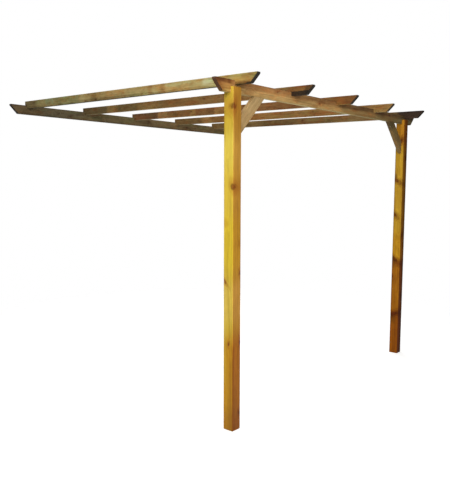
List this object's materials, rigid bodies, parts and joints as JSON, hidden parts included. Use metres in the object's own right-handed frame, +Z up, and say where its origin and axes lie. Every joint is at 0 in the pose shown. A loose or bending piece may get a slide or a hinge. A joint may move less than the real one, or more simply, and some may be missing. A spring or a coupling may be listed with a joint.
{
  "type": "lean-to pergola",
  "caption": "Open timber lean-to frame: a wall beam and a braced front beam on slotted square posts carry notched rafters with raked tips.",
  "frame": {"origin": "on the wall beam's back face, where it lies against the wall, at half its depth and behind the middle rafter; the posts' feet are 2.4525 m lower", "axes": "+X along the beams, to the right when facing the wall; +Y into the wall; +Z up"},
  "size_m": [3.195, 2.815, 2.5357],
  "materials": {
    "post_timber": "planed softwood, golden pressure-treated, unpainted",
    "board_timber": "sawn softwood boards, brown pressure-treated, unpainted"
  },
  "bodies": {
    "root": {"post_left": "post_timber", "post_right": "post_timber", "front_beam": "board_timber", "wall_beam": "board_timber", "rafter_1": "board_timber", "rafter_2": "board_timber", "rafter_3": "board_timber", "rafter_4": "board_timber", "rafter_5": "board_timber", "brace_left": "board_timber", "brace_right": "board_timber"}
  },
  "joints": []
}
